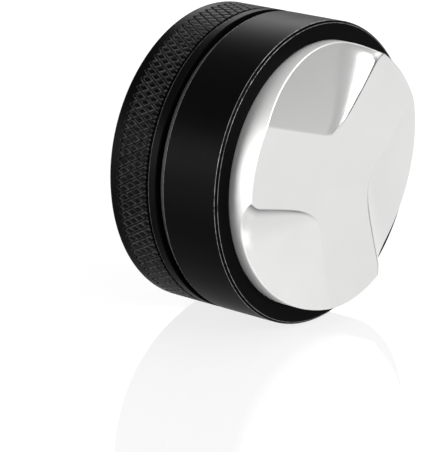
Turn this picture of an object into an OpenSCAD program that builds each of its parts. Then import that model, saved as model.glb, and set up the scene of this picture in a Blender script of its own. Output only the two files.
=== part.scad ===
// Adjustable palm distributor (leveller) for ground coffee, lying on its side.
// The tool is drawn along its own axis, local z: z = 0 is the black rim seat at the
// front of the housing, +z points out of the steel face, -z points to the palm.
// place() then lays it down, with the steel face towards +X and z = 0 under it.

/* [Housing] */
// Outer diameter of the housing and of the cap
housing_d = 66.5; // [65:0.5:69]
// Length of the housing along the axis
housing_len = 15.2; // [15:0.1:17]
// Bevel around the front of the housing
front_bevel = 0.5; // [0.3:0.1:1]
// Bevel around the back of the housing
back_bevel = 0.5; // [0.3:0.1:1]
// Thickness of the wall that holds the threaded bush
web_t = 5.4; // [5:0.1:5.8]

/* [Steel base] */
// Diameter of the steel base, which enters a 58 mm basket
base_d = 58; // [57:0.5:59]
// Distance that the steel face stands proud of the rim seat
base_proud = 6; // [5.5:0.1:7]
// Length of the base's guided skirt behind the rim seat
base_tail = 8; // [7.5:0.1:8.5]
// Slope of each of the three ramps, in degrees
ramp_angle = 9.9; // [8:0.1:12]
// Distance from the axis to the line where a ramp starts
ramp_start = 8.6; // [8:0.1:11]
// Turn of that line towards its own steep wall, in degrees
ramp_skew = 3.5; // [0:0.5:6]
// Distance from the axis to the steep wall that ends a ramp
ramp_wall = 7.1; // [6:0.1:8]
// Radius of the hollow between a ramp and its steep wall
ramp_fillet = 3; // [2:0.1:3.5]
// Turn of the three ramps about the axis, in degrees
ramp_turn = 77; // [0:1:119]

/* [Cap] */
// Gap between the housing and the locked cap
cap_gap = 1.7; // [1.6:0.1:2]
// Length of the cap along the axis
cap_len = 14; // [14:0.1:16]
// Width of the plain lip beside the gap
lip_len = 2.1; // [1.5:0.1:3]
// Width of the small groove between the lip and the grip band
lip_groove = 0.8; // [0.5:0.1:1.2]
// Width of the knurled grip band
grip_len = 8.2; // [6:0.1:9]
// Bevel around the palm end of the cap
palm_bevel = 1; // [0.6:0.1:1.5]
// Diameter of the cover disc in the palm end
disc_d = 50; // [44:1:54]

/* [Screw thread] */
// Outer diameter of the thread on the stem
thread_d = 16; // [15.6:0.1:16.4]
// Diameter of the bushes that carry the thread
bush_d = 24; // [22:1:26]

/* [Hidden] */
$fn = 96;

// Fits, as radial or axial clearance
running = 0.05;
press = 0.02;
eps = 0.01;

housing_r = housing_d / 2;
base_r = base_d / 2;
bore_r = base_r + 2 * running;
thread_r = thread_d / 2;
stem_r = thread_r - running;
bush_r = bush_d / 2;

// Places along the axis
web_front = web_t - housing_len;
housing_back = -housing_len;
cap_front = housing_back - cap_gap;
cap_back = cap_front - cap_len;
total_len = base_proud - cap_back;

// Bushes
bush_flange_r = bush_r + 2.5;
bush_flange_t = 1.5;
cap_web_t = 3.6;
cap_web_back = cap_front - cap_web_t;

// Steel base, seen from behind: rim, ring-shaped pocket and boss
skirt_t = 5;
pocket_floor = -1;
boss_r = 12;
base_edge = 0.3;
wiper_cord = 1.6;
wiper_r = base_r + running - wiper_cord / 2;
wiper_z = -6.05;
wiper_slot = wiper_cord + 0.5;
wiper_floor = wiper_r - wiper_cord / 2 - 0.15;

// Stem and what fastens it
spigot_r = 4.5;
spigot_len = 3;
stem_top = cap_back + 2.9;
head_pocket_r = 5.3;
head_seat = -12;
screw_r = 3;
screw_head_r = 5;
screw_head_h = 6;
screw_tip = 0.4;
screw_hole_end = 1;
hex_across = 5;
hex_depth = 3;
washer_t = 1.6;
washer_r = 4.9;
pin_r = 1.25;
pin_len = 5.8;
pin_offset = 6.5;
clip_t = 1;
clip_z = stem_top + 0.4;
clip_groove_r = 6.8;
clip_r = 9.2;
clip_gap_angle = 50;

// Cap
gap_cord = 1.6;
gap_spigot_r = housing_r - 2.75;
gap_spigot_t = 2.5;
gap_ring_r = gap_spigot_r + 0.1 + gap_cord / 2;
lip_edge = 0.2;
groove_deep = 0.45;
disc_t = 1.4;
disc_sink = 0.2;
disc_r = disc_d / 2;
disc_seat = cap_back + disc_sink + disc_t;
cap_pocket_r = disc_r - 1.5;
thrust_r = bush_r + 1.5;
thrust_hole_r = thread_r + 0.4;

// The ramp plane and the steep wall meet along a line that drops outwards
ramp_slope = tan(ramp_angle);
wall_angle = 30 - ramp_skew;
fall_angle = atan(ramp_slope * cos(wall_angle));
side_slope = ramp_slope * sin(wall_angle) * cos(fall_angle);
corner_angle = 90 + atan(side_slope);
fillet_reach = ramp_fillet / tan(corner_angle / 2);

// Lays the tool on its side, with the steel face towards +X
module place() {
    translate([-(base_proud + cap_back) / 2, 0, housing_r])
        rotate([0, 90, 0])
            children();
}

// A ring of round section about the axis
module ring(r, cord, z) {
    translate([0, 0, z])
        rotate_extrude()
            translate([r, 0])
                circle(d = cord, $fn = 32);
}

// Tube between two heights
module tube(r_out, r_in, z_low, z_high) {
    translate([0, 0, z_low])
        difference() {
            cylinder(r = r_out, h = z_high - z_low);
            translate([0, 0, -1])
                cylinder(r = r_in, h = z_high - z_low + 2);
        }
}

// Smooth black sleeve: the outer wall, and the wall that holds the bush
module housing_sleeve() {
    color("#1b1b1c") place() difference() {
        rotate_extrude() polygon([
            [bore_r + 0.3, 0], [housing_r - front_bevel, 0],
            [housing_r, -front_bevel], [housing_r, housing_back + back_bevel],
            [housing_r - back_bevel, housing_back], [bush_r, housing_back],
            [bush_r, web_front], [bore_r, web_front], [bore_r, -0.3]]);
        translate([0, 0, housing_back - 1])
            cylinder(r = bush_flange_r, h = bush_flange_t + 1);
    }
}

// Flanged brass bush with the thread that sets the depth
module housing_bush() {
    color("goldenrod") place() rotate_extrude() polygon([
        [thread_r, housing_back], [bush_flange_r + press, housing_back],
        [bush_flange_r + press, housing_back + bush_flange_t],
        [bush_r + press, housing_back + bush_flange_t],
        [bush_r + press, web_front], [thread_r, web_front]]);
}

// Wiper in the skirt of the base, which keeps coffee out of the bore
module wiper_ring() {
    color("#161616") place() ring(wiper_r, wiper_cord, wiper_z);
}

// One ramp: everything above it and beside its steep wall is cut away
module ramp_cut() {
    reach = base_d;
    arc_x = ramp_fillet;
    arc_y = fillet_reach;
    start = 180;
    end = 180 + 180 - corner_angle;
    rotate([0, 0, 60])
        translate([0, ramp_wall,
                   base_proud + ramp_slope * (ramp_start - ramp_wall * sin(wall_angle))])
            rotate([0, fall_angle, 0]) rotate([90, 0, 90])
                linear_extrude(height = 2 * reach, center = true)
                    polygon(concat(
                        [[0, reach]],
                        [for (i = [0:8]) let (a = start + (end - start) * i / 8)
                            [arc_x + ramp_fillet * cos(a), arc_y + ramp_fillet * sin(a)]],
                        [[reach, -side_slope * reach], [reach, reach]]));
}

// Steel base: three ramps in front, a pocket and a boss behind
module distributor_base() {
    color("#d9d9d6") place() difference() {
        rotate_extrude() polygon([
            [0, -base_tail], [boss_r, -base_tail], [boss_r, pocket_floor],
            [base_r - skirt_t, pocket_floor], [base_r - skirt_t, -base_tail],
            [base_r - base_edge, -base_tail], [base_r, base_edge - base_tail],
            [base_r, wiper_z - wiper_slot / 2], [wiper_floor, wiper_z - wiper_slot / 2],
            [wiper_floor, wiper_z + wiper_slot / 2], [base_r, wiper_z + wiper_slot / 2],
            [base_r, base_proud - base_edge], [base_r - base_edge, base_proud],
            [0, base_proud]]);
        for (k = [0:2])
            rotate([0, 0, ramp_turn + 120 * k]) ramp_cut();
        translate([0, 0, -base_tail - 1]) {
            cylinder(r = screw_r - press, h = base_tail + 1 + screw_hole_end);
            cylinder(r = spigot_r + running, h = 1 + spigot_len);
            translate([pin_offset, 0, 0])
                cylinder(r = pin_r - press, h = 1 + spigot_len);
        }
    }
}

// Hollow stem whose thread runs through both bushes
module threaded_stem() {
    seat = -base_tail;
    color("#b9bcc0") place() difference() {
        union() {
            translate([0, 0, stem_top])
                cylinder(r = stem_r, h = seat - stem_top);
            translate([0, 0, seat - 1])
                cylinder(r = spigot_r, h = 1 + spigot_len - running);
        }
        translate([0, 0, stem_top - 1])
            cylinder(r = head_pocket_r, h = head_seat - stem_top + 1);
        translate([0, 0, head_seat - 1])
            cylinder(r = screw_r + 0.2, h = 1 - head_seat);
        translate([pin_offset, 0, seat - spigot_len])
            cylinder(r = pin_r - press, h = spigot_len + 1);
        tube(stem_r + 1, clip_groove_r, clip_z - running, clip_z + clip_t + running);
    }
}

// Socket-head screw that ties the stem to the base
module stem_screw() {
    head_z = head_seat - washer_t;
    color("#9a9da1") place() difference() {
        union() {
            translate([0, 0, head_z - screw_head_h])
                cylinder(r = screw_head_r, h = screw_head_h);
            translate([0, 0, head_z - 1])
                cylinder(r = screw_r, h = screw_tip - head_z + 1);
        }
        translate([0, 0, head_z - screw_head_h - 1])
            cylinder(d = hex_across / cos(30), h = hex_depth + 1, $fn = 6);
    }
}

// Spring washer under the screw's head
module screw_washer() {
    color("#8d9094") place()
        tube(washer_r, screw_r + 0.1, head_seat - washer_t, head_seat);
}

// Pin that stops the stem turning in the base
module dowel_pin() {
    color("#c4c7ca") place()
        translate([pin_offset, 0, -base_tail - pin_len / 2])
            cylinder(r = pin_r, h = pin_len);
}

// Open spring clip: it stops the stem leaving the cap
module stem_clip() {
    color("#6d7074") place() difference() {
        tube(clip_r, clip_groove_r + running, clip_z, clip_z + clip_t);
        translate([0, 0, clip_z - 1])
            linear_extrude(height = clip_t + 2)
                polygon([[0, 0],
                         [2 * clip_r, -2 * clip_r * tan(clip_gap_angle / 2)],
                         [2 * clip_r, 2 * clip_r * tan(clip_gap_angle / 2)]]);
    }
}

// Rubber ring seen in the gap between the housing and the cap
module gap_ring() {
    color("#141414") place()
        ring(gap_ring_r, gap_cord, housing_back - cap_gap / 2);
}

// Plastic washer that the cap jams against the housing
module thrust_washer() {
    color("ivory") place()
        tube(thrust_r, thrust_hole_r, cap_front, housing_back);
}

// Knurled cap: a turned cup, open to the palm, with a wall for its bush
module lock_cap() {
    groove_start = cap_front - lip_len;
    grip_start = groove_start - lip_groove;
    color("#1d1d1e") place() rotate_extrude() polygon([
        [bush_r, cap_front], [gap_spigot_r - gap_spigot_t, cap_front],
        [gap_spigot_r - gap_spigot_t, housing_back - 2 * running],
        [gap_spigot_r, housing_back - 2 * running], [gap_spigot_r, cap_front],
        [housing_r - lip_edge, cap_front], [housing_r, cap_front - lip_edge],
        [housing_r, groove_start + lip_edge], [housing_r - lip_edge, groove_start],
        [housing_r - groove_deep, groove_start], [housing_r - groove_deep, grip_start],
        [housing_r, grip_start], [housing_r, grip_start - grip_len],
        [housing_r, cap_back + palm_bevel], [housing_r - palm_bevel, cap_back],
        [disc_r, cap_back], [disc_r, disc_seat], [cap_pocket_r, disc_seat],
        [cap_pocket_r, cap_web_back], [bush_r, cap_web_back]]);
}

// Brass bush with the cap's own thread
module cap_bush() {
    color("goldenrod") place()
        tube(bush_r + press, thread_r, cap_web_back, cap_front);
}

// Plain disc that covers the clip and the stem's end
module palm_disc() {
    color("#202021") place() rotate_extrude() polygon([
        [0, disc_seat], [disc_r - running, disc_seat],
        [disc_r - running, cap_back + disc_sink + 0.3],
        [disc_r - running - 0.3, cap_back + disc_sink], [0, cap_back + disc_sink]]);
}

housing_sleeve();
housing_bush();
wiper_ring();
distributor_base();
threaded_stem();
stem_screw();
screw_washer();
dowel_pin();
stem_clip();
gap_ring();
thrust_washer();
lock_cap();
cap_bush();
palm_disc();
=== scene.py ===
import math

import bmesh
import bpy
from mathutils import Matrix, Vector
from mathutils.geometry import delaunay_2d_cdt

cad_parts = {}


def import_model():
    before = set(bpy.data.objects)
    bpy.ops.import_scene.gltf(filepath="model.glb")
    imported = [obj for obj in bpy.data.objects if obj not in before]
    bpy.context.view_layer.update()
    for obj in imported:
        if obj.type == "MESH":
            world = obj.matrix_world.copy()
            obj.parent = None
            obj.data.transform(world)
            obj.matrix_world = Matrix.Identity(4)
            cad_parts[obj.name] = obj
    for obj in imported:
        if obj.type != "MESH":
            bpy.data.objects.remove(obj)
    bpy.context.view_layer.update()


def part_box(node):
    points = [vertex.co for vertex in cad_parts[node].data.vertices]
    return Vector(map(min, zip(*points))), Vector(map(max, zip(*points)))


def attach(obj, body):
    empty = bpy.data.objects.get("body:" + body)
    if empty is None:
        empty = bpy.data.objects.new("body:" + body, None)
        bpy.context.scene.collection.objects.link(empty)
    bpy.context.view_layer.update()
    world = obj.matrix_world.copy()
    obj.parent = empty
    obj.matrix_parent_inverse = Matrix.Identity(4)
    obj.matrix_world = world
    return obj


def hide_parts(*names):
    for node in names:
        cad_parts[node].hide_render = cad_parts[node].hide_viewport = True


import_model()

# ---------------------------------------------------------------- the frame
# The tool lies along X. Its own coordinates are millimetres: r from its axis,
# an angle about it, and z along it, from 0 at the rim seat, + out of the steel face.
MM = 0.001
sleeve_low, sleeve_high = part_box("housing_sleeve")
base_low, base_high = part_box("distributor_base")
cap_low, cap_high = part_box("lock_cap")
disc_low, disc_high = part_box("palm_disc")
stem_low, stem_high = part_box("threaded_stem")

SEAT_X = sleeve_high.x
AXIS_Z = (sleeve_low.z + sleeve_high.z) / 2


def box_radius(low, high):
    """Radius of a turned piece from its box."""
    return (high.z - low.z) / 2 / MM


def along(x):
    """Height on the tool's axis of a place along X."""
    return (x - SEAT_X) / MM


OUTER_R = box_radius(sleeve_low, sleeve_high)
BASE_R = box_radius(base_low, base_high)
DISC_R = box_radius(disc_low, disc_high)
STEM_R = box_radius(stem_low, stem_high)
PLATEAU = along(base_high.x)
BASE_BACK = along(base_low.x)
SLEEVE_BACK = along(sleeve_low.x)
CAP_FRONT = along(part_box("cap_bush")[1].x)
CAP_BACK = along(cap_low.x)
DISC_TOP = along(disc_low.x)
DISC_SEAT = along(disc_high.x)
clip_low, clip_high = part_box("stem_clip")
CLIP_Z = along((clip_low.x + clip_high.x) / 2)
FIT = 0.02  # an inner piece is drawn this much smaller than its seat or its box
CLIP_T = (clip_high.x - clip_low.x) / MM - FIT
THREAD_PITCH = 1.5
PIN_R = 1.27  # radius of the pin's hole
PIN_OFFSET = 6.5  # its middle's distance from the tool's axis
PIN_START, PIN_END = -11, -5  # where its hole starts in the stem and ends in the base
BUSH_R = 12  # radius of the seats of both bushes
FLANGE_R, FLANGE_T = 14.5, 1.5  # seat of the housing bush's flange
HOUSING_WALL = 5.4  # the two walls that hold the bushes
CAP_WALL = 3.6


def place(r, angle, z):
    """A point of the tool's own coordinates, in the row frame."""
    return Vector((SEAT_X + z * MM, r * MM * math.sin(angle), AXIS_Z - r * MM * math.cos(angle)))


# ------------------------------------------------------------ mesh helpers
SEGMENTS = 360
TAU = 2 * math.pi
TIP = 1e-6  # a ring smaller than this is one point
EDGE_RADIUS = 0.25  # a corner rounded by this much or less is an edge that gets wear and a painted highlight
THREAD_TOP = 1.25  # a thread's level at its crest, before the crest is cut flat at 1
THREAD_FLANK = 2.9  # how much the level falls over one pitch


def round_off(corners, steps=5, guard=0.04):
    """Turns an outline of (r, z, corner radius) into points (r, z, mark), with an arc
    at each rounded corner and a point just outside each end of it, so the flats stay flat."""
    points = []
    for i, (r, z, radius) in enumerate(corners):
        here = Vector((r, z))
        if not radius:
            points.append((r, z, 0))
            continue
        back = (Vector(corners[i - 1][:2]) - here).normalized()
        ahead = (Vector(corners[(i + 1) % len(corners)][:2]) - here).normalized()
        half = back.angle(ahead) / 2
        reach = radius / math.tan(half)
        centre = here + (back + ahead).normalized() * radius / math.sin(half)
        first = here + back * reach - centre
        last = here + ahead * reach - centre
        turn = math.pi - 2 * half
        # Small rounded edges get the mark for wear and a painted highlight.
        takes_wear_and_highlight = radius <= EDGE_RADIUS
        points.append((*(here + back * (reach + guard)), 0))
        for k in range(steps + 1):
            t = k / steps
            spot = centre + (first * math.sin((1 - t) * turn)
                             + last * math.sin(t * turn)) / math.sin(turn)
            points.append((*spot, 1 if takes_wear_and_highlight and 0 < k < steps else 0))
        points.append((*(here + ahead * (reach + guard)), 0))
    return points


def new_mesh():
    """An empty mesh whose points carry a mark: wear with a painted highlight on black edges,
    painted shade in the steel's corners.
    """
    bm = bmesh.new()
    bm.verts.layers.float.new("mark")
    return bm


def add_ring(bm, r, z, mark):
    """A ring of (angle, vertex) pairs about the axis."""
    layer = bm.verts.layers.float["mark"]
    ring = [(TAU * i / SEGMENTS, bm.verts.new(place(r, TAU * i / SEGMENTS, z)))
            for i in range(SEGMENTS)]
    for _, vert in ring:
        vert[layer] = mark
    return ring


def join_loops(bm, low, high):
    """Quads between two loops of vertices of the same count."""
    for i in range(len(low)):
        j = (i + 1) % len(low)
        bm.faces.new((low[i], low[j], high[j], high[i]))


def join_rings(bm, low, high):
    """Quads between two rings of the same count."""
    join_loops(bm, [vert for _, vert in low], [vert for _, vert in high])


def zip_rings(bm, low, high):
    """Triangles between two rings of different counts, both sorted by angle."""
    i = j = 0
    while i < len(low) or j < len(high):
        next_low = low[(i + 1) % len(low)][0] + TAU * ((i + 1) // len(low))
        next_high = high[(j + 1) % len(high)][0] + TAU * ((j + 1) // len(high))
        a, b = low[i % len(low)][1], high[j % len(high)][1]
        if i < len(low) and (j == len(high) or next_low <= next_high):
            i += 1
            bm.faces.new((a, b, low[i % len(low)][1]))
        else:
            j += 1
            bm.faces.new((a, b, high[j % len(high)][1]))


def lathe(bm, points, closed=True):
    """Turns points (r, z, mark) about the axis. Returns the rings."""
    rings = []
    for r, z, mark in points:
        if r < TIP:
            rings.append([(0, bm.verts.new(place(0, 0, z)))])
        else:
            rings.append(add_ring(bm, r, z, mark))
    pairs = list(zip(rings, rings[1:]))
    if closed:
        pairs.append((rings[-1], rings[0]))
    for low, high in pairs:
        if len(low) == 1 or len(high) == 1:
            tip, ring = (low, high) if len(low) == 1 else (high, low)
            for i in range(len(ring)):
                bm.faces.new((tip[0][1], ring[i][1], ring[(i + 1) % len(ring)][1]))
        else:
            join_rings(bm, low, high)
    return rings


def skin(bm, rows, segments=96, closed=False):
    """Joins rows round the axis; a row gives (r, z) at an angle. A row of r 0 is a tip."""
    rings = []
    for row in rows:
        first_r, first_z = row(0)
        if first_r < TIP:
            rings.append([bm.verts.new(place(0, 0, first_z))])
            continue
        ring = []
        for i in range(segments):
            angle = TAU * i / segments
            r, z = row(angle)
            ring.append(bm.verts.new(place(r, angle, z)))
        rings.append(ring)
    for low, high in zip(rings, rings[1:] + rings[:1] if closed else rings[1:]):
        count = max(len(low), len(high))
        for i in range(count):
            j = (i + 1) % count
            corners = [low[i % len(low)], low[j % len(low)],
                       high[j % len(high)], high[i % len(high)]]
            bm.faces.new(list(dict.fromkeys(corners)))


def flat_rows(corners, closed=False):
    """Rows of a plain turned outline of (r, z, corner radius); open ends stay sharp."""
    if not closed:
        corners = [(*corners[0][:2], 0), *corners[1:-1], (*corners[-1][:2], 0)]
    return [lambda angle, r=r, z=z: (r, z) for r, z, _ in round_off(corners, 3)]


def thread_rows(r, deep, pitch, start, end, fade=1.0, per_turn=10):
    """Rows of a right-hand thread cut into a cylinder; a negative depth cuts a bore."""
    count = max(2, round(abs(end - start) / pitch * per_turn))

    def row(z):
        def at(angle):
            phase = (z / pitch - angle / TAU) % 1
            level = min(1, max(0, THREAD_TOP - THREAD_FLANK * abs(phase - 0.5)))
            near = min(abs(z - start), abs(z - end)) / fade
            return r - deep * (1 - level) * min(1, near), z
        return at
    return [row(start + (end - start) * i / count) for i in range(count + 1)]


def open_ring(bm, section, start, end, steps):
    """A bar bent round the axis between two angles; section gives [(r, z)] at an angle."""
    rings = []
    for i in range(steps + 1):
        angle = start + (end - start) * i / steps
        rings.append([bm.verts.new(place(r, angle, z)) for r, z in section(angle)])
    for low, high in zip(rings, rings[1:]):
        join_loops(bm, low, high)
    bm.faces.new(rings[0])
    bm.faces.new(rings[-1])


def rod(bm, r, offset, angle, z_low, z_high, edge=0.0, segments=32):
    """A solid pin beside the axis, its ends chamfered by edge."""
    middle = place(offset, angle, 0)
    rings = []
    for reach, z in ((r - edge, z_low), (r, z_low + edge), (r, z_high - edge),
                     (r - edge, z_high)):
        rings.append([bm.verts.new(Vector((SEAT_X + z * MM, middle.y + reach * MM * math.cos(t),
                                           middle.z + reach * MM * math.sin(t))))
                      for t in (TAU * i / segments for i in range(segments))])
    for low, high in zip(rings, rings[1:]):
        join_loops(bm, low, high)
    bm.faces.new(rings[0])
    bm.faces.new(rings[-1])


def drill(piece, *holes):
    """Cuts round holes (r, offset, angle, z_low, z_high) along the axis into a piece."""
    bm = bmesh.new()
    for r, offset, angle, z_low, z_high in holes:
        rod(bm, r, offset, angle, z_low, z_high)
    bmesh.ops.recalc_face_normals(bm, faces=bm.faces)
    mesh = bpy.data.meshes.new("drill")
    bm.to_mesh(mesh)
    bm.free()
    tool = bpy.data.objects.new("drill", mesh)
    bpy.context.scene.collection.objects.link(tool)
    cut = piece.modifiers.new("holes", "BOOLEAN")
    cut.operation = "DIFFERENCE"
    cut.solver = "EXACT"
    cut.object = tool
    result = bpy.data.meshes.new_from_object(
        piece.evaluated_get(bpy.context.evaluated_depsgraph_get()))
    piece.modifiers.clear()
    piece.data = result
    bpy.data.objects.remove(tool)


def finish_piece(name, bm, material, body, slot, *nodes, sharp=40, holes=()):
    """Makes the object, drills and shades it, hangs it on its body and hides the model's pieces
    that it stands for.
    """
    bmesh.ops.recalc_face_normals(bm, faces=bm.faces)
    mesh = bpy.data.meshes.new(name)
    bm.to_mesh(mesh)
    bm.free()
    piece = bpy.data.objects.new(name, mesh)
    bpy.context.scene.collection.objects.link(piece)
    if holes:
        drill(piece, *holes)
    piece.data.shade_smooth()
    piece.data.set_sharp_from_angle(angle=math.radians(sharp))
    piece.data.materials.append(material)
    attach(piece, body)
    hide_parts(*nodes)


# --------------------------------------------------------------- materials
class Nodes:
    """A material's node tree, with short calls to add and link nodes."""

    def __init__(self, name):
        self.material = bpy.data.materials.new(name)
        self.material.use_nodes = True
        self.tree = self.material.node_tree
        self.shader = self.tree.nodes["Principled BSDF"]

    def add(self, kind, **settings):
        node = self.tree.nodes.new(kind)
        for key, value in settings.items():
            setattr(node, key, value)
        return node

    def link(self, start, end):
        self.tree.links.new(start, end)

    def math(self, operation, a, b=None):
        node = self.add("ShaderNodeMath", operation=operation)
        for socket, value in zip(node.inputs, (a, b)):
            if value is None:
                continue
            if isinstance(value, (int, float)):
                socket.default_value = value
            else:
                self.link(value, socket)
        return node.outputs[0]

    def where(self):
        """A point's place on the resting tool, in metres of the shared frame."""
        return self.add("ShaderNodeTexCoord").outputs["Object"]

    def split(self, where):
        """The x, y and z of a place."""
        node = self.add("ShaderNodeSeparateXYZ")
        self.link(where, node.inputs[0])
        return node.outputs["X"], node.outputs["Y"], node.outputs["Z"]

    def turned(self, where):
        """Distance from the tool's axis, and x along it."""
        x, y, z = self.split(where)
        up = self.math("SUBTRACT", z, AXIS_Z)
        square = self.math("ADD", self.math("MULTIPLY", up, up), self.math("MULTIPLY", y, y))
        return self.math("SQRT", square), x

    def mark(self):
        """The mark that the mesh's points carry."""
        return self.add("ShaderNodeAttribute", attribute_name="mark").outputs["Fac"]

    def mean(self, first, second, share=0.5):
        """Two values joined, the first by its share and the second by what is left."""
        return self.math("ADD", self.math("MULTIPLY", first, share),
                         self.math("MULTIPLY", second, 1 - share))

    def mix(self, value, first, second):
        """The first colour, a socket, turned into the second by a value."""
        node = self.add("ShaderNodeMix", data_type="RGBA")
        factor, first_colour, second_colour, result = 0, 6, 7, 2
        self.link(value, node.inputs[factor])
        self.link(first, node.inputs[first_colour])
        node.inputs[second_colour].default_value = (*second, 1)
        return node.outputs[result]

    def noise(self, where, per_metre, detail=3.0, rough=0.6):
        """Cloudy noise between 0 and 1, mostly near 0.5."""
        node = self.add("ShaderNodeTexNoise")
        node.inputs["Scale"].default_value = per_metre
        node.inputs["Detail"].default_value = detail
        node.inputs["Roughness"].default_value = rough
        self.link(where, node.inputs["Vector"])
        return node.outputs["Fac"]

    def lines(self, where, per_metre):
        """Fine turned lines: noise that stays the same all the way round the axis."""
        r, x = self.turned(where)
        joined = self.add("ShaderNodeCombineXYZ")
        self.link(self.math("MULTIPLY", r, per_metre), joined.inputs["X"])
        self.link(self.math("MULTIPLY", x, per_metre), joined.inputs["Y"])
        return self.noise(joined.outputs[0], per_metre=1.0, detail=2.0)

    def span(self, value, low, high, start=0.3, end=0.7):
        """Low where the value is at its start, high where it is at its end."""
        node = self.add("ShaderNodeMapRange")
        self.link(value, node.inputs["Value"])
        for key, number in (("From Min", start), ("From Max", end),
                            ("To Min", low), ("To Max", high)):
            node.inputs[key].default_value = number
        return node.outputs[0]

    def blend(self, value, first, second, start=0.3, end=0.7):
        """The first colour at the value's start, the second at its end."""
        node = self.add("ShaderNodeValToRGB")
        node.color_ramp.elements[0].position = start
        node.color_ramp.elements[0].color = (*first, 1)
        node.color_ramp.elements[1].position = end
        node.color_ramp.elements[1].color = (*second, 1)
        self.link(value, node.inputs[0])
        return node.outputs[0]

    def bump(self, value, height_mm):
        """Raises the surface by a value times a height."""
        node = self.add("ShaderNodeBump")
        node.inputs["Distance"].default_value = height_mm * MM
        self.link(value, node.inputs["Height"])
        self.link(node.outputs[0], self.shader.inputs["Normal"])


def anodised(name, shade, worn_and_highlight_shade):
    """Satin black anodised aluminium: fine grain, faint turned lines, and edges lighter and
    metallic from wear and a painted highlight.
    """
    n = Nodes(name)
    where = n.where()
    grain = n.noise(where, per_metre=5200, detail=4.0)
    cloud = n.noise(where, per_metre=60)
    scuff = n.noise(where, per_metre=900, detail=4.0)
    turned = n.lines(where, per_metre=9000)
    dark = tuple(c * 0.8 for c in shade)
    light = tuple(c * 1.35 for c in shade)
    cover = n.blend(n.mean(cloud, grain, 0.6), dark, light)
    # Wear plus painted highlight: marked edges turn lighter and metallic, standing in for the
    # bright highlight lines along the bevels.
    worn_and_highlit = n.math("MULTIPLY", n.mark(), n.span(scuff, 0.25, 1.0, 0.35, 0.6))
    n.link(n.mix(worn_and_highlit, cover, worn_and_highlight_shade), n.shader.inputs["Base Color"])
    n.link(n.math("MULTIPLY", worn_and_highlit, 0.8), n.shader.inputs["Metallic"])
    n.link(n.span(n.mean(cloud, turned), 0.32, 0.42), n.shader.inputs["Roughness"])
    n.bump(n.mean(grain, turned, 0.6), height_mm=0.004)
    n.shader.inputs["Specular IOR Level"].default_value = 0.018
    return n.material


def steel(name, shade, corner_shadow_shade, rough, side_rough):
    """Satin stainless steel: cloudy sheen over a fine grain, a rougher side, and painted shade
    darkening the corners at the steep walls.
    """
    n = Nodes(name)
    where = n.where()
    r, _ = n.turned(where)
    grain = n.noise(where, per_metre=4200, detail=4.0)
    cloud = n.noise(where, per_metre=45)
    # Painted shade: marked corners darken towards the shadow colour.
    corner_shadow = n.math("MULTIPLY", n.mark(), n.span(cloud, 0.7, 0.9))
    cover = n.blend(cloud, tuple(c * 0.95 for c in shade), shade)
    n.link(n.mix(corner_shadow, cover, corner_shadow_shade), n.shader.inputs["Base Color"])
    satin = n.span(n.mean(cloud, grain), rough * 0.9, rough * 1.12)
    rim = n.span(r, 0, side_rough - rough, (BASE_R - 0.3) * MM, (BASE_R - 0.1) * MM)
    n.link(n.math("ADD", satin, rim), n.shader.inputs["Roughness"])
    n.bump(grain, height_mm=0.0008)
    n.shader.inputs["Metallic"].default_value = 1.0
    return n.material


def rubber(name, shade):
    """Black silicone rubber: dull, with faint dust."""
    n = Nodes(name)
    dust = n.noise(n.where(), per_metre=1800, detail=5.0, rough=0.7)
    n.link(n.blend(dust, shade, tuple(c * 2.2 for c in shade), 0.45, 0.8),
           n.shader.inputs["Base Color"])
    n.link(n.span(dust, 0.5, 0.68), n.shader.inputs["Roughness"])
    n.bump(dust, height_mm=0.006)
    return n.material


def turned_metal(name, shade, rough):
    """Machined metal: turned lines round the axis and a thin, cloudy film of oil."""
    n = Nodes(name)
    where = n.where()
    turned = n.lines(where, per_metre=7000)
    film = n.noise(where, per_metre=350, detail=4.0)
    n.link(n.blend(film, tuple(c * 0.8 for c in shade), shade), n.shader.inputs["Base Color"])
    n.link(n.span(n.mean(turned, film), rough * 0.85, rough * 1.25),
           n.shader.inputs["Roughness"])
    n.bump(turned, height_mm=0.003)
    n.shader.inputs["Metallic"].default_value = 1.0
    return n.material


def nylon(name, shade):
    """Natural nylon: milky, with faint flow marks."""
    n = Nodes(name)
    where = n.where()
    flow = n.noise(where, per_metre=160, detail=4.0)
    n.link(n.blend(flow, tuple(c * 0.93 for c in shade), shade), n.shader.inputs["Base Color"])
    n.link(n.span(flow, 0.38, 0.5), n.shader.inputs["Roughness"])
    n.bump(n.noise(where, per_metre=2500), height_mm=0.003)
    n.shader.inputs["Subsurface Weight"].default_value = 0.15
    n.shader.inputs["Subsurface Scale"].default_value = 0.001
    return n.material


# The last colour is the edge colour: wear and a painted highlight.
BLACK = anodised("black_anodised", (0.0012, 0.0012, 0.0013), (0.25, 0.25, 0.255))
# The second colour is the painted shade in the corners at the steep walls.
STEEL = steel("satin_steel", (0.73, 0.73, 0.725), (0.13, 0.13, 0.13), 0.24, 0.58)
RUBBER = rubber("black_rubber", (0.008, 0.008, 0.008))
PLAIN = turned_metal("plain_steel", (0.5, 0.51, 0.52), 0.26)
SPRING = turned_metal("spring_steel", (0.13, 0.13, 0.14), 0.36)
BRASS = turned_metal("brass", (0.72, 0.5, 0.2), 0.24)
NYLON = nylon("nylon", (0.78, 0.75, 0.66))


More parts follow.
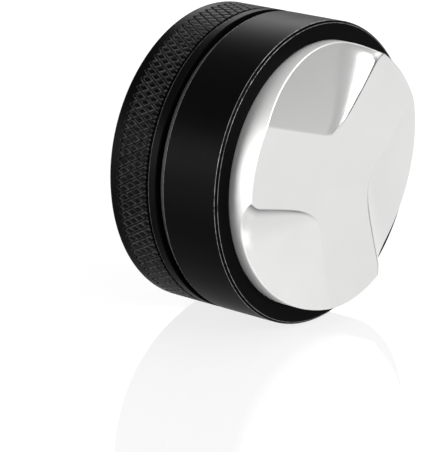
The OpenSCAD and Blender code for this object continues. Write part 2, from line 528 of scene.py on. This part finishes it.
# ------------------------------------------------------------ steel base
# A place on a ramp is (a, b): a past the line where the ramp starts to fall, and b past the
# straight line of its steep wall. The two lines cross at 60 degrees plus the skew.
RAMP_COUNT = 3
RAMP_SLOPE = math.tan(math.radians(9.9))
RAMP_START = 8.55  # distance of the start line from the tool's axis
RAMP_SKEW = math.radians(3.5)  # turn of the start line towards the ramp's own wall
RAMP_WALL = 7.1  # distance of the wall's line from the tool's axis
RAMP_TURN = math.radians(77)  # place of the first ramp round the axis
WALL_BEND = 2.6  # how far past its line the wall lies at the ramp's start
WALL_BEND_REACH = 2.4  # how far along the ramp the bend lasts
WALL_STEEP = 8.0  # slope of the wall
CORNER = 3.0  # radius of an arm's corner at the rim
CORNER_START = 17.2  # where along the ramp that corner starts
CORNER_SHARE = 0.97  # how much of its radius it runs for, short of a square end
HOLLOW_START = 1.8  # width of the hollow beside the wall, at the ramp's start
HOLLOW_GROWTH = 0.42  # how much wider it gets with each mm along the ramp
HOLLOW_ROUND = 0.4  # share of a round in the hollow's shape; the rest is a parabola
SHADE_SHARE = 0.22  # share of the hollow's width that gets painted shade
SHADE_DEPTH = 1.0  # depth from which the painted shade is full
RIM_FILLET = 0.25
CREASE_SOFT = 1.8  # fillet radius of the crease where the ramp starts
EDGE_SOFT = 0.45  # fillet radius of the edge at the top of a steep wall
EDGE_SLOPE = 0.8  # slope beyond the ramp's own from which an edge has that radius
SOFT_MOST = 0.5  # the most depth a fillet takes up
SOFT_LEAST = 0.04  # the depth it may always take up
SOFT_SHARE = 0.45  # the share of the ramp's depth it may take up
SIN60 = math.sin(math.radians(60))


def wall_top(a):
    """How far the wall's top leaves its straight line: a bend inside, a corner outside."""
    past = min(max(a - CORNER_START, 0), CORNER_SHARE * CORNER)
    corner = CORNER - math.sqrt(CORNER ** 2 - past ** 2)
    return WALL_BEND * math.exp(-max(a, 0) / WALL_BEND_REACH) - corner


def hollow_width(a):
    """Width of the hollow between the wall and the ramp: it grows towards the rim."""
    return HOLLOW_START + HOLLOW_GROWTH * max(a, 0)


def ramp_depth(a, b):
    """Depth of a ramp a mm past its start and b mm from its wall's line, edges softened."""
    full = RAMP_SLOPE * a
    t = (b - wall_top(a)) / hollow_width(a)
    if t <= 0:
        level, steep, soft = WALL_STEEP * t * hollow_width(a), WALL_STEEP, EDGE_SOFT
    elif t < 1:
        rise = math.sqrt(1 - (1 - t) ** 2)
        level = full * (HOLLOW_ROUND * rise + (1 - HOLLOW_ROUND) * rise ** 2)
        fall = (1 - t) * (HOLLOW_ROUND / rise + 2 * (1 - HOLLOW_ROUND))
        steep = math.hypot(RAMP_SLOPE, max(full, 0) / hollow_width(a) * fall)
        edge = min(1, (steep - RAMP_SLOPE) / EDGE_SLOPE)
        soft = CREASE_SOFT + (EDGE_SOFT - CREASE_SOFT) * edge
    else:
        level, steep, soft = full, RAMP_SLOPE, CREASE_SOFT
    width = min(soft * steep * math.tan(math.atan(steep) / 2), SOFT_MOST,
                max(SOFT_LEAST, SOFT_SHARE * full))
    if level >= width:
        return level
    if level <= -width:
        return 0
    return (level + width) ** 2 / (4 * width)


def ramp_place(k, x, y):
    """How far a point across the axis lies past the start and the wall of ramp k."""
    turn = RAMP_TURN + TAU * k / RAMP_COUNT
    px = x * math.cos(turn) + y * math.sin(turn)
    py = y * math.cos(turn) - x * math.sin(turn)
    return (py * math.cos(RAMP_SKEW) + px * math.sin(RAMP_SKEW) - RAMP_START,
            py / 2 - px * SIN60 - RAMP_WALL)


def face_height(x, y):
    """Height of the steel face at a point across the axis."""
    depth = max(ramp_depth(*ramp_place(k, x, y)) for k in range(RAMP_COUNT))
    r = math.hypot(x, y)
    past = min(r - (BASE_R - RIM_FILLET), RIM_FILLET)
    drop = RIM_FILLET - math.sqrt(RIM_FILLET ** 2 - past ** 2) if past > 0 else 0
    return PLATEAU - depth - drop


def ramp_point(k, a, b):
    """Point across the axis that lies a and b from the lines of ramp k."""
    a += RAMP_START
    b += RAMP_WALL
    cross = math.sin(RAMP_SKEW) / 2 + math.cos(RAMP_SKEW) * SIN60
    x = (a / 2 - b * math.cos(RAMP_SKEW)) / cross
    y = (b * math.sin(RAMP_SKEW) + a * SIN60) / cross
    turn = RAMP_TURN + TAU * k / RAMP_COUNT
    return Vector((x * math.cos(turn) - y * math.sin(turn),
                   x * math.sin(turn) + y * math.cos(turn)))


def face_lines():
    """The lines that the face's mesh follows: rims, ramp starts, wall tops, hollows."""
    radii = [BASE_R - RIM_FILLET * (1 - math.sin(math.radians(t)))
             for t in (0, 12, 24, 36, 48, 60, 72, 82, 90)]
    radii.append(BASE_R - RIM_FILLET - 0.06)
    steps = 2 * SEGMENTS
    rims = [[Vector((r * math.cos(TAU * i / steps), r * math.sin(TAU * i / steps)))
             for i in range(steps)] for r in radii]
    lines = []
    coarse, coarse_count, fine, fine_count = 0.4, 44, 0.12, 40
    reach = [i * coarse for i in range(coarse_count)]
    reach += [coarse * coarse_count + i * fine for i in range(fine_count)]
    for k in range(RAMP_COUNT):
        # Along the crease, along the wall's top, and across the hollow and just past it.
        for a in (-0.25, 0, 0.25):
            lines.append([ramp_point(k, a, wall_top(a) + step) for step in reach])
        for side in (-0.4, -0.12, -0.04):
            lines.append([ramp_point(k, a, wall_top(a) + side) for a in reach])
        for t in list(range(0, 96, 6)) + [100]:
            lines.append([ramp_point(k, a, wall_top(a)
                                     + hollow_width(a) * (1 - math.cos(math.radians(t))))
                          for a in reach])
    inside = BASE_R - 0.03
    lines = [[p for p in line if p.length < inside] for line in lines]
    return rims, [line for line in lines if len(line) > 1]


def corner_shade(a, b):
    """How much painted shade a place on a ramp gets: most in the corner at its steep wall."""
    full = RAMP_SLOPE * a
    past = b - wall_top(a)
    if full <= 0 or past < -0.2:
        return 0
    return min(1, full / SHADE_DEPTH) * max(0, 1 - max(0, past) / (SHADE_SHARE * hollow_width(a))) ** 1.5


def near_wall(point):
    """True where the mesh should hold only the lines that follow a steep wall."""
    places = [ramp_place(k, point.x, point.y) for k in range(RAMP_COUNT)]
    return any(a > -0.5 and -0.6 < b - wall_top(a) < 0.8 for a, b in places)


def steel_face(bm):
    """The three-ramp face as a mesh that follows its own edges. Returns its outer ring."""
    rims, lines = face_lines()
    points, edges = [], []
    for line in rims + lines:
        start = len(points)
        points += line
        edges += [(start + i, start + i + 1) for i in range(len(line) - 1)]
        if line in rims:
            edges.append((start + len(line) - 1, start))
    spacing = 1.1  # of the loose points between the lines
    for ring in range(1, int(BASE_R / spacing)):
        r = ring * spacing
        count = max(6, int(TAU * r / spacing))
        spots = [Vector((r * math.cos(TAU * i / count), r * math.sin(TAU * i / count)))
                 for i in range(count)]
        points += [spot for spot in spots if not near_wall(spot)]
    flat, _, triangles, *_ = delaunay_2d_cdt(points, edges, [], 0, 1e-4)
    layer = bm.verts.layers.float["mark"]
    verts = []
    for p in flat:
        angle = math.atan2(p.y, p.x)
        r = min(p.length, BASE_R)
        verts.append(bm.verts.new(place(r, angle, face_height(p.x, p.y))))
        # The mark here is painted shade in the corners of the hollows.
        verts[-1][layer] = max(corner_shade(*ramp_place(k, p.x, p.y))
                               for k in range(RAMP_COUNT))
    for corners in triangles:
        bm.faces.new([verts[c] for c in corners])
    outer = [(math.atan2(p.y, p.x) % TAU, v) for p, v in zip(flat, verts)
             if p.length > BASE_R - 1e-3]
    return sorted(outer, key=lambda pair: pair[0])


def distributor_base():
    """Steel base: the face, the rim, the wiper's groove, the pocket and the boss."""
    bm = new_mesh()
    outer = steel_face(bm)
    guard = 0.05  # a ring this far under the face's edge keeps the rim's side flat
    below = [(angle, bm.verts.new(v.co - Vector((guard * MM, 0, 0)))) for angle, v in outer]
    join_rings(bm, outer, below)
    rim_start = 1.2  # below the ramps' lowest place
    groove_low, groove_high, groove_floor = -7.1, -5.0, 27.3
    skirt, boss, pocket_floor = 24, 12, -1
    spigot_hole, screw_hole, spigot_floor, screw_floor, drill_tip = 4.55, 2.98, -5, 1, 1.9
    back = round_off([
        (BASE_R, rim_start, 0), (BASE_R, groove_high, 0.15),
        (groove_floor, groove_high, 0.15), (groove_floor, groove_low, 0.15),
        (BASE_R, groove_low, 0.15), (BASE_R, BASE_BACK, 0.3),
        (skirt, BASE_BACK, 0.3), (skirt, pocket_floor, 1.2),
        (boss, pocket_floor, 1.2), (boss, BASE_BACK, 0.4),
        (spigot_hole, BASE_BACK, 0), (spigot_hole, spigot_floor, 0),
        (screw_hole, spigot_floor, 0), (screw_hole, screw_floor, 0), (0, drill_tip, 0)])
    rings = lathe(bm, [(r, z, 0) for r, z, _ in back], closed=False)
    zip_rings(bm, below, rings[0])
    finish_piece("steel_base", bm, STEEL, "base", "stainless_steel",
                 "distributor_base", holes=[(PIN_R, PIN_OFFSET, 0, BASE_BACK - 1, PIN_END)])


# ------------------------------------------------- what lies inside the tool
def stem():
    """Hollow stem: the long thread, the head's pocket, the spigot and the clip's groove."""
    bm = bmesh.new()
    top, seat = along(stem_low.x), BASE_BACK
    pocket, pocket_floor, screw_hole = 5.3, -12, 3.2
    spigot, spigot_end = 4.5, seat + 2.95
    groove_floor = 6.8
    groove_low, groove_high = CLIP_Z - CLIP_T / 2 - 0.05, CLIP_Z + CLIP_T / 2 + 0.05
    rows = flat_rows([(pocket, top + 0.3, 0), (pocket + 0.3, top, 0.05),
                      (STEM_R - 0.15, top, 0.05), (STEM_R, top + 0.15, 0.05),
                      (STEM_R, groove_low, 0.05), (groove_floor, groove_low, 0.1),
                      (groove_floor, groove_high, 0.1), (STEM_R - 0.3, groove_high, 0.05),
                      (STEM_R, groove_high + 0.35, 0)])
    rows += thread_rows(STEM_R, 0.55, THREAD_PITCH, groove_high + 0.4, seat - 1.4)
    rows += flat_rows([(STEM_R, seat - 1.35, 0), (STEM_R, seat - 0.4, 0.1),
                       (STEM_R - 0.4, seat, 0.1), (spigot, seat, 0.15),
                       (spigot, spigot_end, 0.3), (screw_hole, spigot_end, 0.1),
                       (screw_hole, pocket_floor, 0.1), (pocket, pocket_floor, 0.2),
                       (pocket, top + 0.4, 0)])
    skin(bm, rows, closed=True)
    finish_piece("stem", bm, PLAIN, "base", "plain_steel", "threaded_stem",
                 sharp=30, holes=[(PIN_R, PIN_OFFSET, 0, PIN_START, seat + 1)])


def bush(name, node, body, outline, start, end):
    """Brass bush: a turned outside and a threaded bore that clears the stem."""
    bm = bmesh.new()
    bore, chamfer = STEM_R + 0.05, 0.35
    rows = flat_rows([(bore, start + chamfer, 0), (bore + chamfer, start, 0.05), *outline,
                      (bore + chamfer, end, 0.05), (bore, end - chamfer, 0)])
    rows += thread_rows(bore, -0.3, THREAD_PITCH, end - 0.4, start + 0.4, 0.4)
    skin(bm, rows, closed=True)
    finish_piece(name, bm, BRASS, body, "brass", node, sharp=30)


def bushes():
    """The housing's flanged bush and the cap's plain one."""
    r, flange = BUSH_R - FIT, FLANGE_R - FIT
    start, end = SLEEVE_BACK, SLEEVE_BACK + HOUSING_WALL
    shoulder = start + FLANGE_T - FIT
    bush("flanged_bush", "housing_bush", "housing",
         [(flange, start, 0.15), (flange, shoulder, 0.1), (r, shoulder, 0.1), (r, end, 0.2)],
         start, end)
    start, end = CAP_FRONT - CAP_WALL, CAP_FRONT
    bush("plain_bush", "cap_bush", "cap", [(r, start, 0.2), (r, end, 0.2)], start, end)


def screw():
    """Socket-head screw: straight-knurled head, hexagonal socket and thread."""
    bm = bmesh.new()
    low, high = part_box("stem_screw")
    top, tip, seat = along(low.x), along(high.x), along(low.x) + 6
    head, shank = 5, 2.95
    head_edge = head - 0.05
    flutes, flute_deep = 48, 0.12
    socket, socket_deep = 2.5, 3  # half its width across flats
    plain_shank, pitch = 4, 1.0

    def flute(z):
        return lambda angle: (head - flute_deep * (1 - math.cos(flutes * angle)) / 2, z)

    def hexagon(z):
        return lambda angle: (socket / math.cos((angle + math.pi / 6) % (math.pi / 3)
                                                - math.pi / 6), z)
    rows = [lambda angle: (0, top + socket_deep + 0.6)]
    rows += [hexagon(top + socket_deep), hexagon(top + 0.25)]
    rows += flat_rows([(3.1, top, 0), (head_edge - 0.45, top, 0.05),
                       (head_edge, top + 0.45, 0.05)])
    rows += [flute(top + 0.7), flute(seat - 0.5)]
    rows += flat_rows([(head_edge, seat - 0.3, 0), (4.7, seat, 0.05), (3, seat, 0.1),
                       (shank, seat + 0.2, 0), (shank, seat + plain_shank, 0)])
    rows += thread_rows(shank, 0.45, pitch, seat + plain_shank + 0.1, tip - 0.5)
    rows += flat_rows([(shank, tip - 0.45, 0), (2.5, tip, 0.1)])
    rows += [lambda angle: (0, tip)]
    skin(bm, rows, 192)
    finish_piece("socket_screw", bm, PLAIN, "base", "plain_steel", "stem_screw",
                 sharp=30)


def split_washer():
    """Spring washer, cut through and slightly sprung along the axis."""
    bm = bmesh.new()
    low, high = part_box("screw_washer")
    inner, outer = 3.12, 4.88
    gap = math.radians(9)  # half the cut
    spring = 0.18  # how far its ends lie apart along the axis
    z_low, z_high = along(low.x) + FIT, along(high.x) - spring - FIT

    def section(angle):
        rise = spring * (angle / TAU)
        return [(r, z) for r, z, _ in round_off(
            [(inner, z_low + rise, 0.1), (outer, z_low + rise, 0.1),
             (outer, z_high + rise, 0.1), (inner, z_high + rise, 0.1)], 2)]
    open_ring(bm, section, gap, TAU - gap, 96)
    finish_piece("split_washer", bm, PLAIN, "base", "plain_steel", "screw_washer",
                 sharp=50)


def pin():
    """Dowel pin with chamfered ends."""
    bm = bmesh.new()
    low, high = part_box("dowel_pin")
    rod(bm, PIN_R - FIT, PIN_OFFSET, 0, along(low.x), along(high.x), 0.25)
    finish_piece("dowel", bm, PLAIN, "base", "plain_steel", "dowel_pin", sharp=30)


def clip():
    """Snap ring: thicker opposite its gap, with a drilled ear at each end."""
    bm = bmesh.new()
    gap = math.radians(25.5)  # half the opening
    ear = math.radians(17)
    ear_r, ear_blend = 9.15, 0.12
    inner, outer_at_gap, thicker = 6.87, 8.3, 0.75
    hole_r, hole_offset = 0.6, 8.05
    z_low, z_high = CLIP_Z - CLIP_T / 2, CLIP_Z + CLIP_T / 2

    def section(angle):
        from_end = min(angle, TAU - angle) - gap
        body = outer_at_gap + thicker * math.sin(angle / 2) ** 4
        t = min(1, max(0, (from_end - ear) / ear_blend))
        outer = ear_r + (body - ear_r) * t * t * (3 - 2 * t)
        return [(r, z) for r, z, _ in round_off(
            [(inner, z_low, 0.08), (outer, z_low, 0.08),
             (outer, z_high, 0.08), (inner, z_high, 0.08)], 2)]
    open_ring(bm, section, gap, TAU - gap, 160)
    spot = gap + ear / 2
    holes = [(hole_r, hole_offset, angle, CLIP_Z - CLIP_T, CLIP_Z + CLIP_T)
             for angle in (spot, -spot)]
    finish_piece("snap_ring", bm, SPRING, "base", "spring_steel", "stem_clip",
                 sharp=50, holes=holes)


def washer():
    """Nylon washer between the housing and the cap."""
    bm = bmesh.new()
    inner, outer = 8.4, 13.5
    skin(bm, flat_rows([(inner, SLEEVE_BACK, 0.15), (inner, CAP_FRONT, 0.15),
                        (outer, CAP_FRONT, 0.15), (outer, SLEEVE_BACK, 0.15)], closed=True),
         closed=True)
    finish_piece("nylon_washer", bm, NYLON, "cap_seal", "nylon", "thrust_washer",
                 sharp=50)


# ------------------------------------------------------------------ housing
def housing():
    """Smooth sleeve, bevelled at both ends, with the wall that holds the bush."""
    bm = new_mesh()
    bore = BASE_R + 0.1
    bevel = 0.5
    lathe(bm, round_off([
        (bore, 0, 0.26), (OUTER_R - bevel, 0, 0.16), (OUTER_R, -bevel, 0.2),
        (OUTER_R, SLEEVE_BACK + bevel, 0.2), (OUTER_R - bevel, SLEEVE_BACK, 0.15),
        (FLANGE_R, SLEEVE_BACK, 0.1), (FLANGE_R, SLEEVE_BACK + FLANGE_T, 0),
        (BUSH_R, SLEEVE_BACK + FLANGE_T, 0), (BUSH_R, SLEEVE_BACK + HOUSING_WALL, 0.1),
        (bore, SLEEVE_BACK + HOUSING_WALL, 0.8)]))
    finish_piece("housing", bm, BLACK, "housing", "black_anodised",
                 "housing_sleeve")


# ---------------------------------------------------------------------- cap
LIP = 2.1  # lengths along the axis
LIP_GROOVE = 0.8
GRIP = 8.2
GROOVE_DEEP = 0.45
KNURL_STARTS = 104  # grooves each way
KNURL_HELIX = math.radians(28.5)
KNURL_DEEP = 0.32
KNURL_HALF = 0.33  # half a groove's width
KNURL_FADE = 0.7  # how far the grooves run out at the palm end
KNURL_SOFT = 0.05  # softening of a groove's edges
WEAR_AND_HIGHLIGHT_DEPTH, WEAR_AND_HIGHLIGHT_MARK = 0.08, 0.18  # how deep the wear and painted highlight on those edges go, and its mark
GRIP_START = CAP_FRONT - LIP - LIP_GROOVE
GRIP_END = GRIP_START - GRIP
KNURL_PITCH = TAU * OUTER_R / KNURL_STARTS
KNURL_SKEW = math.tan(KNURL_HELIX) / KNURL_PITCH


def knurl_depth(angle, z):
    """Depth of the crossed grooves of the grip at a point of its surface."""
    round_the = OUTER_R * angle / KNURL_PITCH
    across = KNURL_PITCH * math.cos(KNURL_HELIX)
    gap = min(abs(t - round(t)) for t in (round_the + z * KNURL_SKEW,
                                          round_the - z * KNURL_SKEW)) * across
    fade = min(1, max(0, (z - GRIP_END) / KNURL_FADE))
    level = KNURL_DEEP * (fade - gap / KNURL_HALF)
    if level >= KNURL_SOFT:
        return level
    return (level + KNURL_SOFT) ** 2 / (4 * KNURL_SOFT) if level > -KNURL_SOFT else 0


def knurled_grip(bm):
    """The grip band, laid out along its own crossed grooves. Returns its two end rings."""
    # Across one cell, from the middle of one groove to the next, the mesh has lines at these
    # shares of the way: the groove's edge with a line either side of it, and the middle.
    half = KNURL_HALF / (KNURL_PITCH * math.cos(KNURL_HELIX))
    soft = half * 0.16
    marks = [0, half - soft, half, half + soft, 0.5,
             1 - half - soft, 1 - half, 1 - half + soft]
    count = len(marks)
    near = 2  # squares this close to a crossing of grooves are cut along a line towards it
    lap = KNURL_STARTS * count
    verts = {}

    def vertex(u, v):
        turns = u // lap
        key = (u - turns * lap, v - turns * lap)
        if key not in verts:
            cell_u, cell_v = (c // count + marks[c % count] for c in key)
            angle = KNURL_PITCH * (cell_u + cell_v) / 2 / OUTER_R
            z = (cell_u - cell_v) / (2 * KNURL_SKEW)
            verts[key] = bm.verts.new(place(OUTER_R, angle, z))
        return verts[key]

    low = math.floor(2 * KNURL_SKEW * GRIP_END) - 1
    high = math.ceil(2 * KNURL_SKEW * GRIP_START) + 1
    for i in range(KNURL_STARTS):
        for j in range(i - high, i - low + 1):
            for a in range(count):
                for b in range(count):
                    u, v = i * count + a, j * count + b
                    square = [vertex(u, v), vertex(u + 1, v),
                              vertex(u + 1, v + 1), vertex(u, v + 1)]
                    low_a, low_b = a < near, b < near
                    high_a, high_b = a >= count - near, b >= count - near
                    if (low_a and low_b) or (high_a and high_b):
                        bm.faces.new((square[0], square[1], square[2]))
                        bm.faces.new((square[0], square[2], square[3]))
                    elif (low_a and high_b) or (high_a and low_b):
                        bm.faces.new((square[0], square[1], square[3]))
                        bm.faces.new((square[1], square[2], square[3]))
                    else:
                        bm.faces.new(square)
    for z, outward in ((GRIP_START, 1), (GRIP_END, -1)):
        bmesh.ops.bisect_plane(bm, geom=bm.verts[:] + bm.edges[:] + bm.faces[:], dist=1e-9,
                               plane_co=place(0, 0, z), plane_no=(outward, 0, 0),
                               clear_outer=True)
    # Lines across the run-out, where the grooves' depth changes.
    for step in (0.2, 0.45, KNURL_FADE):
        bmesh.ops.bisect_plane(bm, geom=bm.verts[:] + bm.edges[:] + bm.faces[:], dist=1e-9,
                               plane_co=place(0, 0, GRIP_END + step), plane_no=(1, 0, 0))
    ends = {GRIP_START: [], GRIP_END: []}
    layer = bm.verts.layers.float["mark"]
    for v in bm.verts:
        angle = math.atan2(v.co.y, AXIS_Z - v.co.z) % TAU
        z = along(v.co.x)
        depth = knurl_depth(angle, z)
        v.co = place(OUTER_R - depth, angle, z)
        # Groove edges get the mark for wear and a painted highlight.
        v[layer] = WEAR_AND_HIGHLIGHT_MARK if 0 < depth < WEAR_AND_HIGHLIGHT_DEPTH else 0
        for end, ring in ends.items():
            if abs(z - end) < 1e-4:
                ring.append((angle, v))
    return [sorted(ring, key=lambda pair: pair[0]) for ring in ends.values()]


def lock_cap():
    """Knurled cap: lip, small groove, grip, plain margin, palm end, pocket and spigot."""
    bm = new_mesh()
    front_ring, back_ring = knurled_grip(bm)
    groove_r = OUTER_R - GROOVE_DEEP
    foot = [(angle, bm.verts.new(place(groove_r, angle, GRIP_START)))
            for angle, _ in front_ring]
    join_rings(bm, front_ring, foot)
    wall = CAP_FRONT - CAP_WALL
    disc_bore = DISC_R + 0.05
    pocket = disc_bore - 1.5
    spigot, spigot_front = OUTER_R - 2.75, SLEEVE_BACK - 0.1
    spigot_bore = spigot - 2.5
    outline = round_off([
        (OUTER_R, GRIP_END - 0.05, 0), (OUTER_R, CAP_BACK + 1, 0.6),
        (OUTER_R - 1, CAP_BACK, 0.4), (disc_bore, CAP_BACK, 0.2),
        (disc_bore, DISC_SEAT, 0.1), (pocket, DISC_SEAT, 0.2), (pocket, wall, 1),
        (BUSH_R, wall, 0.1), (BUSH_R, CAP_FRONT, 0.1), (spigot_bore, CAP_FRONT, 0.1),
        (spigot_bore, spigot_front, 0.15), (spigot, spigot_front, 0.15),
        (spigot, CAP_FRONT, 0.15), (OUTER_R, CAP_FRONT, 0.26),
        (OUTER_R, CAP_FRONT - LIP, 0.16), (groove_r, CAP_FRONT - LIP, 0.12),
        (groove_r, GRIP_START + 0.06, 0)])
    rings = lathe(bm, outline, closed=False)
    zip_rings(bm, back_ring, rings[0])
    zip_rings(bm, foot, rings[-1])
    finish_piece("knurled_cap", bm, BLACK, "cap", "black_anodised", "lock_cap",
                 sharp=50)


def palm_disc():
    """Plain flat disc with a rounded edge, in the palm end."""
    bm = new_mesh()
    lathe(bm, round_off([
        (0, DISC_SEAT, 0), (DISC_R, DISC_SEAT, 0.1), (DISC_R, DISC_TOP, 0.25),
        (0, DISC_TOP, 0)]), closed=False)
    finish_piece("palm_cover", bm, BLACK, "cap", "black_anodised", "palm_disc")


def rubber_ring(name, node, body):
    """Ring of round rubber cord."""
    low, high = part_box(node)
    cord = (high.x - low.x) / MM / 2
    r = box_radius(low, high) - cord
    middle = along((low.x + high.x) / 2)
    bm = new_mesh()
    count = 28
    lathe(bm, [(r + cord * math.cos(TAU * i / count),
                middle + cord * math.sin(TAU * i / count), 0) for i in range(count)])
    finish_piece(name, bm, RUBBER, body, "rubber", node)


distributor_base()
stem()
bushes()
screw()
split_washer()
pin()
clip()
washer()
housing()
lock_cap()
palm_disc()
rubber_ring("gap_seal", "gap_ring", "cap_seal")
rubber_ring("wiper_seal", "wiper_ring", "wiper")


# ------------------------------------------------------------ floor and light
VIEW_AZIMUTH = 41.2  # degrees from the front, towards the steel face
VIEW_ELEVATION = 16.9
VIEW_DISTANCE = 0.5545
VIEW_LENS = 205
AIM_LEFT, AIM_DOWN = 0.672, 0.342  # from the rim's centre, in outer radii


def stage_material():
    """Pale floor that glows with painted light, strongest near the tool and fainter further out;
    glossy near the tool and rough further out.
    """
    n = Nodes("floor")
    where = n.where()
    x, y, _ = n.split(where)
    out = n.math("SQRT", n.math("ADD", n.math("POWER", x, 2), n.math("POWER", y, 2)))
    near_rough = n.span(n.noise(where, per_metre=30), 0.02, 0.035)
    # Painted light: the floor glows at 0.8 within 0.4 m of the middle and 0.45 past 0.75 m,
    # lifting the shadows under the tool.
    n.link(n.span(out, 0.8, 0.45, 0.4, 0.75), n.shader.inputs["Emission Strength"])
    n.link(n.math("ADD", near_rough, n.span(out, 0, 0.7, 0.2, 0.4)),
           n.shader.inputs["Roughness"])
    n.shader.inputs["Base Color"].default_value = (0.1, 0.1, 0.1, 1)
    n.shader.inputs["Emission Color"].default_value = (1, 1, 1, 1)
    return n.material


def floor():
    """A wide sheet that curves up behind the tool."""
    bm = bmesh.new()
    half, back, radius, top = 3.0, 1.6, 1.0, 4.0
    below = 0.0002  # keeps the floor from touching the tool
    outline = [(-half, 0.0), (back, 0.0)]
    outline += [(back + radius * math.sin(t), radius * (1 - math.cos(t)))
                for t in (math.radians(5 * i) for i in range(1, 19))]
    outline.append((back + radius, top))
    heading = math.radians(VIEW_AZIMUTH)
    ahead = Vector((-math.sin(heading), math.cos(heading), 0))
    side = Vector((math.cos(heading), math.sin(heading), 0))
    rows = [[bm.verts.new(ahead * y + side * half * s + Vector((0, 0, z - below)))
             for s in (-1, 1)] for y, z in outline]
    for near, far in zip(rows, rows[1:]):
        bm.faces.new((near[0], near[1], far[1], far[0]))
    mesh = bpy.data.meshes.new("floor")
    bm.to_mesh(mesh)
    bm.free()
    mesh.shade_smooth()
    sheet = bpy.data.objects.new("floor", mesh)
    bpy.context.scene.collection.objects.link(sheet)
    mesh.materials.append(stage_material())


def soft_light(name, azimuth, elevation, distance, size, watts):
    """A lamp of (width, height) that faces the tool from a direction and a distance."""
    data = bpy.data.lights.new(name, "AREA")
    data.shape = "RECTANGLE"
    data.size, data.size_y = size
    data.energy = watts
    lamp = bpy.data.objects.new(name, data)
    a, e = math.radians(azimuth), math.radians(elevation)
    away = Vector((math.sin(a) * math.cos(e), -math.cos(a) * math.cos(e), math.sin(e)))
    lamp.location = Vector((0, 0, AXIS_Z)) + away * distance
    lamp.rotation_euler = away.to_track_quat("Z", "Y").to_euler()
    bpy.context.scene.collection.objects.link(lamp)


def camera():
    """Aims a little to the left of the front rim's centre and below it."""
    a, e = math.radians(VIEW_AZIMUTH), math.radians(VIEW_ELEVATION)
    right = Vector((math.cos(a), math.sin(a), 0))
    ahead = Vector((-math.sin(a) * math.cos(e), math.cos(a) * math.cos(e), -math.sin(e)))
    up = right.cross(ahead)
    rim = place(0, 0, -0.5)
    aim = rim - (right * AIM_LEFT + up * AIM_DOWN) * OUTER_R * MM
    data = bpy.data.cameras.new("camera")
    data.lens = VIEW_LENS
    data.sensor_width = 36
    data.clip_start, data.clip_end = 0.01, 20
    eye = bpy.data.objects.new("camera", data)
    eye.location = aim - ahead * VIEW_DISTANCE
    eye.rotation_mode = "QUATERNION"
    eye.rotation_quaternion = ahead.to_track_quat("-Z", "Y")
    bpy.context.scene.collection.objects.link(eye)
    bpy.context.scene.camera = eye


def world():
    """Even pale surroundings."""
    sky = bpy.data.worlds.new("world")
    sky.use_nodes = True
    sky.node_tree.nodes["Background"].inputs["Color"].default_value = (1, 1, 1, 1)
    sky.node_tree.nodes["Background"].inputs["Strength"].default_value = 0.55
    bpy.context.scene.world = sky


world()
camera()
floor()
soft_light("overhead", 150, 75, 1.0, (0.8, 0.8), 5)
soft_light("right", 92, 30, 0.9, (0.7, 0.35), 7)
soft_light("front", 57, 24, 0.9, (0.25, 0.25), 2)
soft_light("left", -32, 8, 0.9, (0.6, 0.4), 7)
soft_light("behind", -135, 28, 0.9, (0.5, 0.3), 3)
bpy.context.scene.view_settings.view_transform = "Standard"
